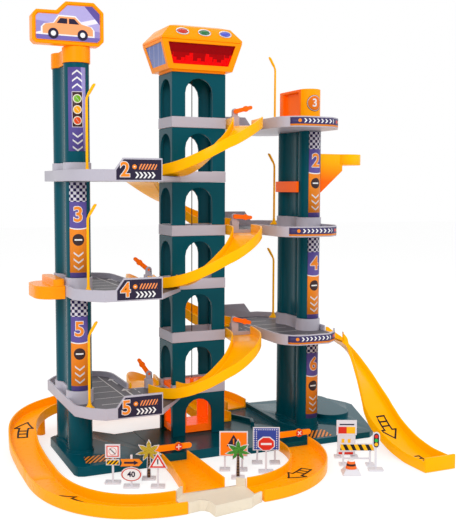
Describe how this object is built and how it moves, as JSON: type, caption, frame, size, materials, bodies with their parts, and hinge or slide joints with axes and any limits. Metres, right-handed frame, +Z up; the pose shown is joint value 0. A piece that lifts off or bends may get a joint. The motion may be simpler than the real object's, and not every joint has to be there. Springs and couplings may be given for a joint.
{
  "type": "toy parking garage",
  "caption": "Toy parking garage: a lift tower between columns, decks joined by curved ramps, a control cab on top, a slide and a track round the base.",
  "frame": {"origin": "underside of the middle base plate, on the axis of the lift tower", "axes": "+Z up, +X to the right along the front of the tower, +Y to the back, away from the entrance tracks"},
  "size_m": [0.5265, 0.4378, 0.56],
  "materials": {
    "teal": "smooth dark teal moulded plastic with a soft gloss",
    "grey": "pale grey-lilac moulded plastic",
    "yellow": "yellow moulded plastic",
    "orange": "orange moulded plastic",
    "red_orange": "red-orange moulded plastic",
    "cream": "cream moulded plastic",
    "red_pane": "deep red shiny panes",
    "cord": "thin dark braided cord"
  },
  "bodies": {
    "garage": {"back_ramp_1": "yellow", "back_ramp_2": "yellow", "back_ramp_3": "yellow", "bridge_track": "orange", "cab_body": "orange", "cab_glazing": "red_pane", "cab_roof": "orange", "curve_track": "orange", "deck_shelf": "orange", "exit_slide": "yellow", "front_ramp_1": "yellow", "front_ramp_2": "yellow", "front_ramp_3": "yellow", "helipad": "yellow", "left_base": "teal", "left_column_1": "teal", "left_column_2": "teal", "left_column_3": "teal", "left_column_4": "teal", "left_column_cap": "orange", "left_deck_1": "grey", "left_deck_2": "grey", "left_deck_3": "grey", "left_lamp_1": "yellow", "left_lamp_2": "yellow", "left_lamp_3": "yellow", "lift_cord": "cord", "loop_track": "orange", "middle_base": "teal", "right_base": "teal", "right_column_1": "teal", "right_column_2": "teal", "right_column_3": "teal", "right_deck_1": "grey", "right_deck_2": "grey", "right_deck_3": "grey", "right_lamp_1": "yellow", "right_lamp_2": "yellow", "right_lamp_3": "yellow", "roof_booth": "orange", "sign_board": "orange", "straight_track": "orange", "tower_storey_1": "teal", "tower_storey_2": "teal", "tower_storey_3": "teal", "tower_storey_4": "teal", "tower_storey_5": "teal", "tower_storey_6": "teal", "tower_storey_7": "teal", "track_junction": "cream"},
    "left_base_boom": {"left_base_gate": "orange"},
    "left_deck_boom_1": {"left_deck_gate_1": "red_orange"},
    "left_deck_boom_2": {"left_deck_gate_2": "red_orange"},
    "left_deck_boom_3": {"left_deck_gate_3": "red_orange"},
    "lift": {"lift_car": "red_orange"},
    "right_base_boom": {"right_base_gate": "orange"},
    "right_deck_boom_1": {"right_deck_gate_1": "red_orange"},
    "right_deck_boom_2": {"right_deck_gate_2": "red_orange"},
    "right_deck_boom_3": {"right_deck_gate_3": "red_orange"},
    "winch": {"winch_drum": "orange"}
  },
  "joints": [
    {"name": "lift_slide", "type": "slide", "parent": "garage", "child": "lift", "axis": [0, 0, 1], "range_m": [0, 0.4], "deforming": ["lift_cord"]},
    {"name": "winch_turn", "type": "hinge", "parent": "garage", "child": "winch", "pos_m": [-0.0109, 0, 0.509], "axis": [0, -1, 0], "range_deg": [0, 2170]},
    {"name": "left_deck_boom_1_lift", "type": "hinge", "parent": "garage", "child": "left_deck_boom_1", "pos_m": [-0.0575, 0.0135, 0.0925], "axis": [0, 1, 0], "range_deg": [-70, 14]},
    {"name": "right_deck_boom_1_lift", "type": "hinge", "parent": "garage", "child": "right_deck_boom_1", "pos_m": [0.0575, -0.0135, 0.1625], "axis": [0, -1, 0], "range_deg": [0, 84]},
    {"name": "left_deck_boom_2_lift", "type": "hinge", "parent": "garage", "child": "left_deck_boom_2", "pos_m": [-0.0575, 0.0135, 0.2325], "axis": [0, 1, 0], "range_deg": [-54, 30]},
    {"name": "right_deck_boom_2_lift", "type": "hinge", "parent": "garage", "child": "right_deck_boom_2", "pos_m": [0.0575, -0.0135, 0.3025], "axis": [0, -1, 0], "range_deg": [-10, 74]},
    {"name": "left_deck_boom_3_lift", "type": "hinge", "parent": "garage", "child": "left_deck_boom_3", "pos_m": [-0.0575, 0.0135, 0.3725], "axis": [0, 1, 0], "range_deg": [-14, 70]},
    {"name": "right_deck_boom_3_lift", "type": "hinge", "parent": "garage", "child": "right_deck_boom_3", "pos_m": [0.0575, -0.0135, 0.4425], "axis": [0, -1, 0], "range_deg": [-29, 55]},
    {"name": "left_base_boom_lift", "type": "hinge", "parent": "garage", "child": "left_base_boom", "pos_m": [-0.0805, -0.0875, 0.0205], "axis": [0, -1, 0], "range_deg": [0, 75]},
    {"name": "right_base_boom_lift", "type": "hinge", "parent": "garage", "child": "right_base_boom", "pos_m": [0.086, -0.0955, 0.0205], "axis": [0, -1, 0], "range_deg": [0, 75]}
  ],
  "couplings": [
    {"joint": "winch_turn", "follows": "lift_slide", "rad_per_m": 94.34}
  ]
}
